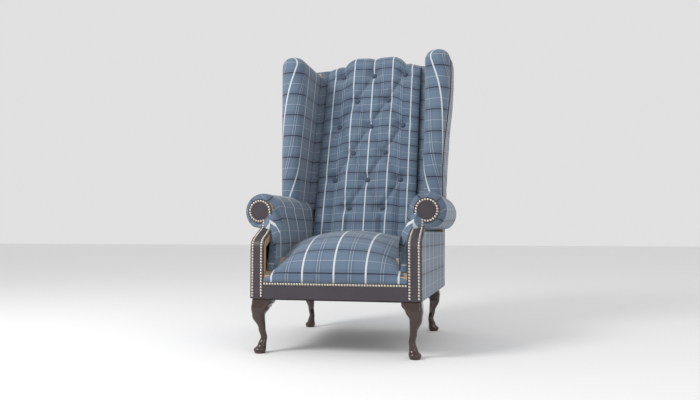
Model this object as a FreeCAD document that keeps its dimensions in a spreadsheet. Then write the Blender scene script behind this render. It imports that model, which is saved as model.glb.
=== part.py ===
import FreeCAD, Part
import math
import os

from FreeCAD import Placement, Rotation, Vector

# Fireside chair: a tall upholstered wing chair with scroll arms and cabriole legs.
# Millimetres, +Z up, the chair faces -Y, origin on the floor under the middle of the chair.
os.makedirs("parts", exist_ok=True)

document = FreeCAD.newDocument("FiresideChair")

# Driving dimensions, kept in a sheet: name, value, meaning.
SIZES = [
    ("leg_height", 200, "floor to the underside of the seat frame"),
    ("leg_top_side", 72, "square knee block of a leg"),
    ("leg_ankle", 24, "thinnest diameter of a leg"),
    ("leg_pad", 46, "diameter of the pad foot"),
    ("leg_knee_out", 22, "how far the knee stands out on the diagonal"),
    ("leg_toe_out", 16, "how far the foot stands out on the diagonal"),
    ("leg_inset_side", 38, "outer frame face to the middle of a leg, across"),
    ("leg_inset_front", 43, "front face to the middle of a front leg"),
    ("leg_inset_rear", 36, "rear face of the back post to the middle of a rear leg"),
    ("rail_height", 85, "height of the seat rails"),
    ("rail_thick", 28, "thickness of the seat rails"),
    ("leather_thick", 6, "padded leather facing and border"),
    ("panel_thick", 4, "fabric covered outside panels"),
    ("fit_gap", 0.3, "clearance between soft pieces and their neighbours"),
    ("facing_inner", 262, "middle plane to the inner edge of an arm facing"),
    ("facing_outer", 311, "middle plane to the outer edge of an arm facing"),
    ("stump_inset", 2, "arm stump inside the outline of its facing"),
    ("stump_thick", 28, "thickness of the arm stump"),
    ("knee_level", 383, "height where the arm front starts to sweep back"),
    ("knee_radius", 40, "convex radius at the knee of the arm front"),
    ("neck_radius", 25, "concave radius at the neck of the arm front"),
    ("sweep_angle", 65, "lean of the arm front between knee and neck, degrees"),
    ("arm_setback", 112, "scroll face behind the seat front"),
    ("scroll_across", 319, "middle plane to the middle of the scroll"),
    ("scroll_level", 520, "height of the middle of the scroll"),
    ("scroll_radius", 47, "leather disc of the scroll"),
    ("roll_radius", 70, "fabric roll round the scroll"),
    ("arm_inner", 228, "middle plane to the inside of the arm"),
    ("arm_wall", 36, "stuffed inside wall of the arm"),
    ("arm_wall_level", 400, "height where the inside arm starts to turn into the roll"),
    ("roll_end", 655, "seat front to the rear end of the arm roll"),
    ("arm_board_width", 44, "top board of the arm"),
    ("arm_board_thick", 28, "top board of the arm"),
    ("tack_rail_width", 22, "tacking rail inside the arm"),
    ("tack_rail_height", 26, "tacking rail inside the arm"),
    ("tack_rail_level", 312, "underside of the tacking rail inside the arm"),
    ("frame_depth", 725, "seat front to the rear face of the seat frame"),
    ("post_inner", 290, "middle plane to the inner face of a back post"),
    ("post_width", 42, "back post across"),
    ("post_depth", 45, "back post front to rear"),
    ("post_top", 1215, "height of the back posts"),
    ("post_rake", 0.155, "backward run of the outside back for each unit of height"),
    ("crest_level", 1300, "top of the crest"),
    ("crest_dip", 5, "dip in the middle of the crest"),
    ("crest_half", 150, "middle plane to the foot of the hump"),
    ("hump_across", 85, "middle plane to the top of each hump"),
    ("notch_level", 1262, "height of the foot of the hump"),
    ("shoulder_level", 1246, "height of the crest beside the wings"),
    ("crest_cover", 24, "stuffing over the top rail"),
    ("top_rail_drop", 90, "top rail below the shoulder"),
    ("top_rail_thick", 28, "top rail"),
    ("low_back_level", 350, "underside of the lower back rail"),
    ("low_back_height", 50, "lower back rail"),
    ("back_half", 226, "middle plane to the side of the inside back"),
    ("button_level", 547, "height of the lowest button row"),
    ("button_setback", 580, "seat front to the lowest button row"),
    ("button_rise", 129, "height from one button row to the next"),
    ("button_across", 150, "distance between buttons of one row"),
    ("button_diameter", 24, "covered buttons"),
    ("button_height", 9, "covered buttons"),
    ("button_rim", 3, "upright rim of a covered button"),
    ("button_margin", 3, "dimple floor round a button"),
    ("button_sink", 4, "dimple floor below the plane of the buttons"),
    ("back_rake", 0.3416, "backward run of the inside back for each unit of height"),
    ("tuft_depth", 24, "depth of the buttons below the crown of the back"),
    ("pleat_depth", 13, "depth of the pleats between the buttons"),
    ("pleat_width", 52, "width of the rounded pleat channels"),
    ("web_width", 50, "webbing straps"),
    ("web_thick", 1.8, "webbing straps"),
    ("web_gap", 30, "lower back rail to the first strap across the back"),
    ("web_step", 150, "from one strap across the back to the next"),
    ("spring_base", 62, "diameter of the seat springs"),
    ("spring_wire", 4, "wire of the seat springs"),
    ("spring_waist", 0.3, "how much the springs narrow at the middle"),
    ("deck_level", 345, "top of the spring canvas"),
    ("canvas_thick", 2, "spring canvas"),
    ("border_top", 259, "height of the leather border under the seat"),
    ("seat_crown", 446, "height of the crown of the seat"),
    ("seat_side_drop", 62, "seat edge beside the arms below the crown"),
    ("seat_depth", 520, "seat front to the rear of the seat pad"),
    ("wing_low_front", 430, "seat front to the front of the wing at its waist"),
    ("wing_high_front", 505, "seat front to the front of the wing at its widest"),
    ("wing_waist", 680, "height of the waist of the wing"),
    ("wing_wide", 1130, "height where the wing is widest"),
    ("wing_top", 1232, "height of the wing"),
    ("wing_round", 46, "rounded top edge of the wing"),
    ("wing_inner", 270, "middle plane to the inner side of the wing roll"),
    ("wing_low_outer", 348, "middle plane to the outer side of the wing at its waist"),
    ("wing_high_outer", 380, "middle plane to the outer side of the wing at its widest"),
    ("wing_rear_taper", 10, "outer side of the wing draws in towards the back"),
    ("wing_belly", 5, "bulge of the outer side of the wing"),
    ("wing_board", 25, "wing frame boards"),
    ("wing_post_depth", 50, "front post of the wing"),
    ("trim_width", 22, "leather strip along the wing"),
    ("trim_thick", 3, "leather strip along the wing"),
    ("cloth_thick", 1.2, "dust cover under the seat"),
    ("cloth_inset", 12, "dust cover inside the frame's outer faces"),
    ("panel_inset", 10, "outside back panel inside the outline of the back"),
    ("bolt_diameter", 10, "bolts that hold the legs"),
    ("bolt_length", 70, "bolts that hold the legs"),
    ("bolt_offset", 18, "bolt inward of the middle of its leg"),
    ("block_side", 84, "glue blocks in the corners of the seat frame"),
    ("block_height", 50, "glue blocks in the corners of the seat frame"),
]

sheet = document.addObject("Spreadsheet::Sheet", "Sizes")
for row, (alias, value, meaning) in enumerate(SIZES, start=1):
    sheet.set(f"A{row}", alias)
    sheet.set(f"B{row}", str(value))
    sheet.set(f"C{row}", meaning)
    sheet.setAlias(f"B{row}", alias)
document.recompute()


class Size:
    """The sheet's values by name."""

    def __getattr__(self, alias):
        return float(sheet.get(alias))


s = Size()
FAR = 2 * s.crest_level
SIDES = (("left", -1), ("right", 1))
nodes = []

# Levels and distances that follow from the driving dimensions.
rail_top = s.leg_height + s.rail_height
stump_back = s.leather_thick + s.stump_thick
post_front = s.frame_depth - s.post_depth
side_rail_outer = s.facing_outer - s.stump_inset
post_outer = s.post_inner + s.post_width
panel_top = s.crest_level - s.panel_inset
chair_depth = s.frame_depth + s.panel_thick + s.post_rake * (panel_top - rail_top)
front_y = -chair_depth / 2


def keep(thing, label):
    """Names a finished sub-part, which also names its file."""
    thing.Label = label
    nodes.append(thing)
    return thing


def behind(distance):
    """Y of a point that lies this far behind the front of the seat."""
    return front_y + distance


def seats_of(thing, amount):
    """A rigid piece moved both ways along each axis, which cuts its seat with a clearance."""
    shifts = [Vector(x, y, z) * amount for x, y, z in
              ((1, 0, 0), (-1, 0, 0), (0, 1, 0), (0, -1, 0), (0, 0, 1), (0, 0, -1))]
    return [thing.Shape.translated(shift) for shift in shifts]


def labelled(label):
    return [thing for thing in nodes if thing.Label == label][0]


def outline_edges(points):
    """Edges of a closed outline; a point given as (via, end) makes an arc."""
    edges = []
    start = points[0]
    closing = points[0] if not isinstance(points[-1][0], tuple) else None
    run = list(points[1:])
    last = run[-1][1] if isinstance(run[-1][0], tuple) else run[-1]
    if last != points[0]:
        run.append(points[0])
    for point in run:
        if isinstance(point[0], tuple):
            via, end = point
            edges.append(Part.Arc(Vector(*start, 0), Vector(*via, 0), Vector(*end, 0)))
        else:
            end = point
            edges.append(Part.LineSegment(Vector(*start, 0), Vector(*end, 0)))
        start = end
    return edges


def padded_body(name, role, outline, start, length):
    """A body with one sketch on an origin plane and a pad whose length is bound to the sheet."""
    body = document.addObject("PartDesign::Body", name)
    plane = [feature for feature in body.Origin.OriginFeatures if feature.Role == role][0]
    sketch = body.newObject("Sketcher::SketchObject", name + "_outline")
    sketch.AttachmentSupport = (plane, [""])
    sketch.MapMode = "FlatFace"
    sketch.AttachmentOffset = Placement(Vector(0, 0, start), Rotation())
    sketch.addGeometry(outline_edges(outline), False)
    pad = body.newObject("PartDesign::Pad", name + "_pad")
    pad.Profile = sketch
    pad.setExpression("Length", length)
    return body


def from_front(point):
    """A side outline point, measured from the seat front, as Y and height."""
    if isinstance(point[0], tuple):
        return tuple((behind(u), z) for u, z in point)
    return (behind(point[0]), point[1])


def side_board(name, outline, inner, thick, length, sign=1):
    """A board cut to a side outline; inner is its face nearest the middle plane."""
    start = inner if sign > 0 else -inner - thick
    return padded_body(name, "YZ_Plane", [from_front(point) for point in outline], start, length)


def full_width_board(name, outline, half):
    """A board cut to a side outline that runs from side to side."""
    return padded_body(name, "YZ_Plane", [from_front(point) for point in outline], -half, f"2 * {half} mm")


def flipped(outline, sign):
    """A front or plan outline on the left or the right side."""
    turned = []
    for point in outline:
        if isinstance(point[0], tuple):
            turned.append(tuple((sign * x, other) for x, other in point))
        else:
            turned.append((sign * point[0], point[1]))
    return turned


def front_prism(name, outline, sign=1):
    """A front outline run through the whole depth of the chair, to be trimmed."""
    return padded_body(name, "XZ_Plane", flipped(outline, sign), -FAR / 2, f"{FAR} mm")


def side_prism(name, outline):
    """A side outline run through the whole width of the chair, to be trimmed."""
    return padded_body(name, "YZ_Plane", [from_front(point) for point in outline], -FAR / 2, f"{FAR} mm")


def plan_board(name, outline, bottom, length, sign=1):
    """A board cut to a plan outline (across, behind), standing on a level."""
    points = [(sign * x, behind(u)) for x, u in outline]
    return padded_body(name, "XY_Plane", points, bottom, length)


def common(name, first, second):
    """What two bodies share."""
    piece = document.addObject("Part::MultiCommon", name)
    piece.Shapes = [first, second]
    return piece


def box(name, low, high):
    """A plain block between two corners, each (across, behind, height)."""
    block = document.addObject("Part::Box", name)
    block.Length = high[0] - low[0]
    block.Width = high[1] - low[1]
    block.Height = high[2] - low[2]
    block.Placement = Placement(Vector(low[0], behind(low[1]), low[2]), Rotation())
    return block


def feature(name, shape):
    """A document object for a shape made with Part's own functions."""
    thing = document.addObject("Part::Feature", name)
    thing.Shape = shape
    return thing


def face_of(outline, to_vector):
    """A planar face from an outline, its points placed by to_vector."""
    edges = []
    for edge in outline_edges(outline):
        ends = [edge.StartPoint, edge.EndPoint]
        if isinstance(edge, Part.LineSegment):
            edges.append(Part.LineSegment(*[to_vector(p) for p in ends]).toShape())
        else:
            middle = edge.value((edge.FirstParameter + edge.LastParameter) / 2)
            edges.append(Part.Arc(to_vector(ends[0]), to_vector(middle), to_vector(ends[1])).toShape())
    return Part.Face(Part.Wire(Part.__sortEdges__(edges)))


def wire_of(outline, to_vector):
    """The wire of such a face."""
    edges = []
    for edge in outline_edges(outline):
        ends = [edge.StartPoint, edge.EndPoint]
        if isinstance(edge, Part.LineSegment):
            edges.append(Part.LineSegment(*[to_vector(p) for p in ends]).toShape())
        else:
            middle = edge.value((edge.FirstParameter + edge.LastParameter) / 2)
            edges.append(Part.Arc(to_vector(ends[0]), to_vector(middle), to_vector(ends[1])).toShape())
    return Part.Wire(edges)


# Front legs and rear legs: cabriole, the knee and the pad foot on the diagonal.
def leg_shape():
    """A leg whose top middle is at the origin of X and Y, its knee towards +X -Y."""
    side = s.leg_top_side
    knee, toe = s.leg_knee_out, s.leg_toe_out
    height = s.leg_height
    # share of the height, half width, bulge of the sides as a share of it, stand-out
    levels = [
        (1.00, side / 2, 1.0, 0.0),
        (0.93, side / 2, 1.0, 0.08 * knee),
        (0.82, 0.80 * side / 2, 1.10, 0.65 * knee),
        (0.68, 0.54 * side / 2, 1.25, knee),
        (0.44, 0.44 * s.leg_ankle, 1.38, 0.36 * knee),
        (0.28, 0.38 * s.leg_ankle, 1.40, 0.0),
        (0.15, 0.48 * s.leg_pad / 2, 1.40, 0.45 * toe),
        (0.065, 0.71 * s.leg_pad / 2, 1.40, toe),
        (0.0, 0.56 * s.leg_pad / 2, 1.40, toe),
    ]
    wires = []
    for share, half, bulge, out in levels:
        slant = out / math.sqrt(2)
        z = share * height
        side_middle = half * bulge
        outline = [
            (-half, -half), (0, -side_middle), (half, -half), (side_middle, 0),
            (half, half), (0, side_middle), (-half, half), (-side_middle, 0),
        ]
        wires.append(wire_of(outline, lambda p: Vector(p.x + slant, p.y - slant, z)))
    return Part.makeLoft(wires, True, True)


side_leg_x = s.facing_outer - s.leg_inset_side
rear_leg_x = post_outer - s.leg_inset_side - s.leg_inset_rear / 2
leg_places = {
    "front_leg_right": (side_leg_x, s.leg_inset_front, 0),
    "front_leg_left": (-side_leg_x, s.leg_inset_front, -90),
    "rear_leg_left": (-rear_leg_x, s.frame_depth - s.leg_inset_rear, 180),
    "rear_leg_right": (rear_leg_x, s.frame_depth - s.leg_inset_rear, 90),
}
bolt_spot = Vector(-s.bolt_offset, s.bolt_offset, s.leg_height - s.bolt_length / 2)
bolt = Part.makeCylinder(s.bolt_diameter / 2, s.bolt_length, bolt_spot)
leg = leg_shape().cut(bolt)
bolts = []
for name, (across, distance, turn) in leg_places.items():
    thing = feature(name, leg.copy())
    place = Placement(Vector(across, behind(distance), 0), Rotation(Vector(0, 0, 1), turn))
    thing.Placement = place
    keep(thing, name)
    bolts.append(bolt.transformed(place.toMatrix()))

# Seat frame: four rails, glue blocks in the corners and bolts into the legs.
front_rail = box("front_rail", (-s.facing_inner - s.stump_inset, s.leather_thick, s.leg_height),
                 (s.facing_inner + s.stump_inset, stump_back, rail_top))
front_rail.setExpression("Height", "Sizes.rail_height")
keep(front_rail, "front_seat_rail")
rear_rail = box("rear_rail", (-s.post_inner, post_front + s.fit_gap, s.leg_height),
                (s.post_inner, post_front + s.fit_gap + s.rail_thick, rail_top))
rear_rail.setExpression("Width", "Sizes.rail_thick")
rear_rail.setExpression("Height", "Sizes.rail_height")
keep(rear_rail, "rear_seat_rail")
rail_splay = post_outer - side_rail_outer
for side, sign in SIDES:
    outline = [
        (side_rail_outer - s.rail_thick, stump_back), (side_rail_outer, stump_back),
        (side_rail_outer + rail_splay, post_front),
        (side_rail_outer + rail_splay - s.rail_thick, post_front),
    ]
    rail = plan_board("side_rail_" + side, outline, s.leg_height, "Sizes.rail_height", sign)
    keep(rail, "side_seat_rail_" + side)

blocks = []
block_inner = s.block_side
rail_inner_front = side_rail_outer - s.rail_thick
slope = rail_splay / (post_front - stump_back)
for sign in (-1, 1):
    front_outline = [
        (rail_inner_front, stump_back), (rail_inner_front - block_inner, stump_back),
        (rail_inner_front + slope * block_inner, stump_back + block_inner),
    ]
    rear_inner = rail_inner_front + rail_splay
    rear_outline = [
        (s.post_inner, post_front), (s.post_inner - block_inner, post_front),
        (rear_inner - slope * block_inner, post_front - block_inner), (rear_inner, post_front),
    ]
    for outline in (front_outline, rear_outline):
        face = face_of([(sign * x, behind(u)) for x, u in outline], lambda p: Vector(p.x, p.y, s.leg_height))
        blocks.append(face.extrude(Vector(0, 0, s.block_height)))
for index, block in enumerate(blocks):
    for bolt in bolts:
        blocks[index] = blocks[index].cut(bolt)
keep(feature("corner_blocks", Part.makeCompound(blocks)), "corner_blocks")
keep(feature("leg_bolts", Part.makeCompound(bolts)), "leg_bolts")


# Back posts, raked above the seat rails.
def rear_line(z):
    """Behind distance of the posts' rear face at a height."""
    return s.frame_depth + s.post_rake * max(0, z - rail_top)


for side, sign in SIDES:
    outline = [
        (post_front, s.leg_height), (s.frame_depth, s.leg_height), (s.frame_depth, rail_top),
        (rear_line(s.post_top), s.post_top), (rear_line(s.post_top) - s.post_depth, s.post_top),
        (post_front, rail_top),
    ]
    post = side_board("back_post_" + side + "_body", outline, s.post_inner, s.post_width,
                      "Sizes.post_width", sign)
    keep(post, "back_post_" + side)


def raked_band(low, high, front, thick):
    """Side outline of a board parallel to the back posts, its front this far from their rear."""
    return [
        (rear_line(low) - front, low), (rear_line(low) - front + thick, low),
        (rear_line(high) - front + thick, high), (rear_line(high) - front, high),
    ]


low_rail = full_width_board(
    "low_back_rail",
    raked_band(s.low_back_level, s.low_back_level + s.low_back_height, s.post_depth, s.top_rail_thick),
    s.post_inner)
keep(low_rail, "lower_back_rail")


def crest_outline(inset, half, bottom):
    """Front outline of the back: two humps with a dip between, shoulders beside them."""
    foot = s.crest_half
    top = s.crest_level - inset
    notch = s.notch_level - inset
    shoulder = s.shoulder_level - inset
    dip = top - s.crest_dip
    hump_foot = (s.hump_across + foot) / 2
    rise = notch + 0.78 * (top - notch)
    return [
        (-half, bottom), (half, bottom), (half, shoulder),
        (((half + foot) / 2, (shoulder + notch) / 2 + 3), (foot, notch)),
        ((hump_foot, rise), (s.hump_across, top)),
        ((s.hump_across / 2, top), (0, dip)),
        ((-s.hump_across / 2, top), (-s.hump_across, top)),
        ((-hump_foot, rise), (-foot, notch)),
        ((-(half + foot) / 2, (shoulder + notch) / 2 + 3), (-half, shoulder)),
    ]


top_rail_bottom = s.shoulder_level - s.crest_cover - s.top_rail_drop
top_rail = common(
    "top_rail",
    front_prism("top_rail_front", crest_outline(s.crest_cover, s.post_inner, top_rail_bottom)),
    side_prism("top_rail_side", raked_band(top_rail_bottom - 1, s.crest_level, s.post_depth, s.top_rail_thick)))
keep(top_rail, "top_back_rail")


# Arm fronts: the leather facing and the stump behind it follow one swept profile.
lean = math.radians(s.sweep_angle)
sweep_run = (s.arm_setback - (s.knee_radius + s.neck_radius) * (1 - math.cos(lean))) / math.sin(lean)


def arm_front_profile(offset, bottom, top):
    """The arm front in side view, from bottom to top, this far behind its face."""
    knee, neck = s.knee_radius, s.neck_radius + offset
    low = knee - offset
    start = (offset, s.knee_level)
    knee_mid = (knee - low * math.cos(lean / 2), s.knee_level + low * math.sin(lean / 2))
    knee_end = (knee - low * math.cos(lean), s.knee_level + low * math.sin(lean))
    run_end = (knee_end[0] + sweep_run * math.sin(lean), knee_end[1] + sweep_run * math.cos(lean))
    middle = (run_end[0] - neck * math.cos(lean), run_end[1] + neck * math.sin(lean))
    neck_mid = (middle[0] + neck * math.cos(lean / 2), middle[1] - neck * math.sin(lean / 2))
    neck_end = (middle[0] + neck, middle[1])
    return [(offset, bottom), start, (knee_mid, knee_end), run_end, (neck_mid, neck_end), (neck_end[0], top)]


def backwards(path):
    """A side path walked the other way, to close a band."""
    points = [path[-1] if not isinstance(path[-1][0], tuple) else path[-1][1]]
    for index in range(len(path) - 1, 0, -1):
        before = path[index - 1]
        end = before[1] if isinstance(before[0], tuple) else before
        if isinstance(path[index][0], tuple):
            points.append((path[index][0], end))
        else:
            points.append(end)
    return points


def arm_front_band(front, rear):
    """Side outline between two depths of the arm front."""
    top = s.scroll_level + s.scroll_radius + s.stump_thick
    bottom = s.leg_height
    return arm_front_profile(front, bottom, top) + backwards(arm_front_profile(rear, bottom, top))


def scroll_outline(inset):
    """Front outline of an arm front: the strip and the scroll on top of it."""
    inner, outer = s.facing_inner + inset, s.facing_outer - inset
    radius = s.scroll_radius - inset
    across, level = s.scroll_across, s.scroll_level
    neck_drop = math.sqrt(radius ** 2 - (across - outer) ** 2)
    start = math.atan2(-neck_drop, outer - across)
    turn = math.pi * 2 - (math.pi + start) - 0.0
    first = start + turn * 0.2
    points = [(inner, s.leg_height), (outer, s.leg_height), (outer, level - neck_drop)]
    end = math.pi
    angles = [start + (end - start) * share for share in (1 / 6, 1 / 3, 1 / 2, 2 / 3, 5 / 6, 1)]
    places = [(across + radius * math.cos(angle), level + radius * math.sin(angle)) for angle in angles]
    for via, finish in zip(places[0::2], places[1::2]):
        points.append((via, finish))
    points.append((inner, level - 1.9 * radius))
    return points


for side, sign in SIDES:
    facing = common(
        "facing_" + side,
        front_prism("facing_front_" + side, scroll_outline(0), sign),
        side_prism("facing_side_" + side, arm_front_band(0, s.leather_thick)))
    keep(facing, "arm_facing_" + side)
    stump = common(
        "stump_" + side,
        front_prism("stump_front_" + side, scroll_outline(s.stump_inset), sign),
        side_prism("stump_side_" + side, arm_front_band(s.leather_thick, stump_back)))
    keep(stump, "arm_front_stump_" + side)

# Arm rails: a top board inside the roll and a tacking rail inside the arm.
board_low = s.scroll_level - s.arm_board_thick / 2
board_high = board_low + s.arm_board_thick
board_front = s.arm_setback + stump_back


def post_front_line(z):
    """Behind distance of the posts' front face at a height."""
    return rear_line(z) - s.post_depth


for side, sign in SIDES:
    outline = [
        (board_front, board_low), (post_front_line(board_low), board_low),
        (post_front_line(board_high), board_high), (board_front, board_high),
    ]
    board_inner = s.scroll_across - s.arm_board_width / 2
    keep(side_board("arm_board_" + side, outline, board_inner, s.arm_board_width,
                    "Sizes.arm_board_width", sign), "arm_top_rail_" + side)
    low, high = s.tack_rail_level, s.tack_rail_level + s.tack_rail_height
    outline = [
        (stump_back, low), (post_front_line(low), low), (post_front_line(high), high), (stump_back, high),
    ]
    keep(side_board("tack_rail_" + side, outline, s.post_inner - s.tack_rail_width / 2, s.tack_rail_width,
                    "Sizes.tack_rail_width", sign), "arm_tacking_rail_" + side)


# Wing frame: a front post that stands on the arm board, and a rail back to the back post.
def ease(share):
    """Smooth step from 0 to 1."""
    share = min(1, max(0, share))
    return share * share * (3 - 2 * share)


def wing_share(z):
    """0 at the waist of the wing, 1 where it is widest."""
    return ease((z - s.wing_waist) / (s.wing_wide - s.wing_waist))


def wing_front(z):
    """Behind distance of the front of the wing."""
    return s.wing_low_front + (s.wing_high_front - s.wing_low_front) * wing_share(z)


def wing_outer(z):
    """Half width at the outer side of the wing."""
    return s.wing_low_outer + (s.wing_high_outer - s.wing_low_outer) * wing_share(z)


wing_rail_top = s.post_top - s.crest_cover
wing_rail_low = wing_rail_top - s.wing_board
post_cover = (s.wing_low_outer - s.wing_inner) / 2
for side, sign in SIDES:
    levels = [board_high, s.wing_waist, (s.wing_waist + s.wing_wide) / 2, s.wing_wide, wing_rail_top]
    front_points = [(wing_front(z) + post_cover, z) for z in levels]
    rear_points = [(u + s.wing_post_depth, z) for u, z in reversed(front_points)]
    inner = s.post_inner + s.wing_board / 2
    keep(side_board("wing_post_" + side + "_body", front_points + rear_points, inner, s.wing_board,
                    "Sizes.wing_board", sign), "wing_front_post_" + side)
    rail_front = wing_front(wing_rail_top) + post_cover + s.wing_post_depth
    outline = [
        (wing_front(wing_rail_low) + post_cover + s.wing_post_depth, wing_rail_low),
        (post_front_line(wing_rail_low), wing_rail_low),
        (post_front_line(wing_rail_top), wing_rail_top), (rail_front, wing_rail_top),
    ]
    keep(side_board("wing_rail_" + side, outline, inner, s.wing_board, "Sizes.wing_board", sign),
         "wing_top_rail_" + side)

# Seat suspension: webbing under the rails, coil springs on it and a canvas over them.
web_inner = rail_inner_front - s.web_width / 2
web_level = s.leg_height - s.web_thick
straps = []
leg_clear = s.leg_top_side + s.fit_gap
cross_first = s.leg_inset_front + leg_clear / 2 + s.web_width
cross_last = s.frame_depth - s.leg_inset_rear - leg_clear / 2 - s.web_width
for index in range(4):
    u = cross_first + (cross_last - cross_first) * index / 3
    straps.append(Part.makeBox(2 * side_rail_outer - s.rail_thick, s.web_width, s.web_thick,
                               Vector(-side_rail_outer + s.rail_thick / 2, behind(u - s.web_width / 2), web_level)))
spring_step = (side_leg_x - leg_clear / 2 - s.web_width) / 1.35
for index in (-1, 0, 1):
    straps.append(Part.makeBox(s.web_width, post_front - s.leather_thick, s.web_thick,
                               Vector(index * spring_step - s.web_width / 2,
                                      behind(s.leather_thick + s.rail_thick / 2), web_level - s.web_thick)))
keep(feature("seat_webbing", Part.makeCompound(straps)), "seat_webbing")

canvas_low = s.deck_level - s.canvas_thick
spring_low = s.leg_height
spring_height = canvas_low - spring_low


def spring_shape():
    """An hourglass seat spring: a square wire that climbs in straight runs."""
    turns, runs = 4, 6
    side = s.spring_wire
    wires = []
    for step in range(turns * runs + 1):
        share = step / (turns * runs)
        radius = (s.spring_base - side) / 2 * (1 - s.spring_waist * math.sin(math.pi * share))
        angle = 2 * math.pi * step / runs
        low = spring_low + (spring_height - side) * share
        out = Vector(math.cos(angle), math.sin(angle), 0)
        corners = [(radius - side / 2, low), (radius + side / 2, low),
                   (radius + side / 2, low + side), (radius - side / 2, low + side)]
        points = [out * r + Vector(0, 0, z) for r, z in corners]
        wires.append(Part.makePolygon(points + [points[0]]))
    return Part.makeLoft(wires, True, True)


spring = spring_shape()
springs = []
for row in range(3):
    u = cross_first + (cross_last - cross_first) * (row + 0.5) / 3
    for index in (-1, 0, 1):
        moved = spring.copy()
        moved.translate(Vector(index * spring_step, behind(u), 0))
        springs.append(moved)
keep(feature("seat_springs", Part.makeCompound(springs)), "seat_springs")

canvas_half = rail_inner_front + 8
canvas_front = stump_back - 8
canvas_rear = post_front + 8
canvas_rise = 70


def frustum(grow):
    """The solid under the spring canvas, grown on its sloped sides and its top."""
    def ring(half, front, rear, z):
        corners = [(-half, front), (half, front), (half, rear), (-half, rear), (-half, front)]
        return Part.makePolygon([Vector(x, behind(u), z) for x, u in corners])
    return Part.makeLoft([
        ring(canvas_half + grow, canvas_front - grow, canvas_rear + grow, rail_top),
        ring(canvas_half - canvas_rise + grow, canvas_front + canvas_rise - grow,
             canvas_rear - canvas_rise + grow, canvas_low + grow),
    ], True, True)


canvas = frustum(s.canvas_thick).cut(frustum(0))
document.recompute()
for side, sign in SIDES:
    canvas = canvas.cut(seats_of(labelled("arm_front_stump_" + side), s.fit_gap))
    canvas = canvas.cut(seats_of(labelled("back_post_" + side), s.fit_gap))
keep(feature("spring_canvas", canvas), "spring_canvas")

dust_outline = [
    (-side_rail_outer + s.cloth_inset, s.cloth_inset), (side_rail_outer - s.cloth_inset, s.cloth_inset),
    (post_outer - s.cloth_inset, s.frame_depth - s.cloth_inset),
    (-post_outer + s.cloth_inset, s.frame_depth - s.cloth_inset),
]
cloth_level = web_level - s.web_thick - s.cloth_thick
dust = face_of([(x, behind(u)) for x, u in dust_outline], lambda p: Vector(p.x, p.y, cloth_level))
dust = dust.extrude(Vector(0, 0, s.cloth_thick))
for name, (across, distance, turn) in leg_places.items():
    half = s.leg_top_side / 2 + s.fit_gap
    dust = dust.cut(Part.makeBox(2 * half, 2 * half, s.leg_height,
                                 Vector(across - half, behind(distance) - half, cloth_level - s.leg_height / 2)))
keep(feature("dust_cover", dust), "dust_cover")

# Back webbing: straps across the posts and straps from rail to rail in front of them.
web_front = s.post_depth + s.web_thick
back_straps = []
for index in range(5):
    low = s.low_back_level + s.low_back_height + s.web_gap + index * s.web_step
    band = side_prism("web_band_%d" % index, raked_band(low, low + s.web_width, web_front, s.web_thick))
    strip = box("web_strip_%d" % index, (-post_outer + 5, 0, 0), (post_outer - 5, FAR / 2, FAR))
    back_straps.append(common("back_strap_%d" % index, band, strip))
for index in (-1, 0, 1):
    band = side_prism("web_tall_band_%d" % (index + 2),
                      raked_band(s.low_back_level + 10, top_rail_bottom + 40, web_front, s.web_thick))
    tall = [
        (index * 130 - s.web_width / 2, s.low_back_level), (index * 130 + s.web_width / 2, s.low_back_level),
        (index * 130 + s.web_width / 2, s.crest_level), (index * 130 - s.web_width / 2, s.crest_level),
    ]
    back_straps.append(common("back_tall_%d" % (index + 2), band,
                              front_prism("web_tall_front_%d" % (index + 2), tall)))
document.recompute()
woven = back_straps[0].Shape
for strap in back_straps[1:]:
    woven = woven.fuse(strap.Shape)
keep(feature("back_webbing", woven), "back_webbing")


# Stuffed arms: an inside wall that turns into the roll.
def arm_section(grow, roll):
    """Section of a stuffed arm across the chair."""
    inner = s.arm_inner - grow
    rear = s.arm_inner + s.arm_wall + grow
    across, level, radius = s.scroll_across, s.scroll_level, roll + grow
    under = math.radians(-58)
    low_end = (across + radius * math.cos(under), level + radius * math.sin(under))

    def on_roll(degrees):
        angle = math.radians(degrees)
        return (across + radius * math.cos(angle), level + radius * math.sin(angle))
    return [
        (inner, rail_top + s.fit_gap - grow), (inner, s.arm_wall_level),
        (((inner + across - radius) / 2 - 4, (s.arm_wall_level + level) / 2), on_roll(180)),
        (on_roll(135), on_roll(90)), (on_roll(45), on_roll(0)), (on_roll(-29), low_end),
        (rear, level - radius + 4), (rear, rail_top + s.fit_gap - grow),
    ]


def arm_form(sign, grow):
    """The stuffed arm from the arm front back to the post, grown on all sides."""
    def at(u):
        return lambda p: Vector(sign * p.x, behind(u), p.y)
    start = stump_back
    roll = Part.makeLoft([
        wire_of(arm_section(grow, s.roll_radius - 1), at(start)),
        wire_of(arm_section(grow, s.roll_radius + 3), at((start + s.roll_end) / 2)),
        wire_of(arm_section(grow, s.roll_radius + 5), at(s.roll_end + grow)),
    ], True, False)
    wall = [
        (s.arm_inner - grow, rail_top + s.fit_gap - grow), (s.arm_inner - grow, s.arm_wall_level + 40),
        (s.arm_inner + s.arm_wall + grow, s.arm_wall_level + 40),
        (s.arm_inner + s.arm_wall + grow, rail_top + s.fit_gap - grow),
    ]
    wall_front = face_of(wall, at(s.leather_thick)).extrude(Vector(0, post_front - s.leather_thick, 0))
    return roll.fuse(wall_front)


def behind_arm_front(offset, top):
    """Everything behind the arm front in side view, as a solid across the whole chair."""
    path = arm_front_profile(offset, 0, top)
    outline = path + [(FAR / 2, top), (FAR / 2, 0)]
    return face_of([from_front(point) for point in outline],
                   lambda p: Vector(-FAR / 2, p.x, p.y)).extrude(Vector(FAR, 0, 0))


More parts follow.
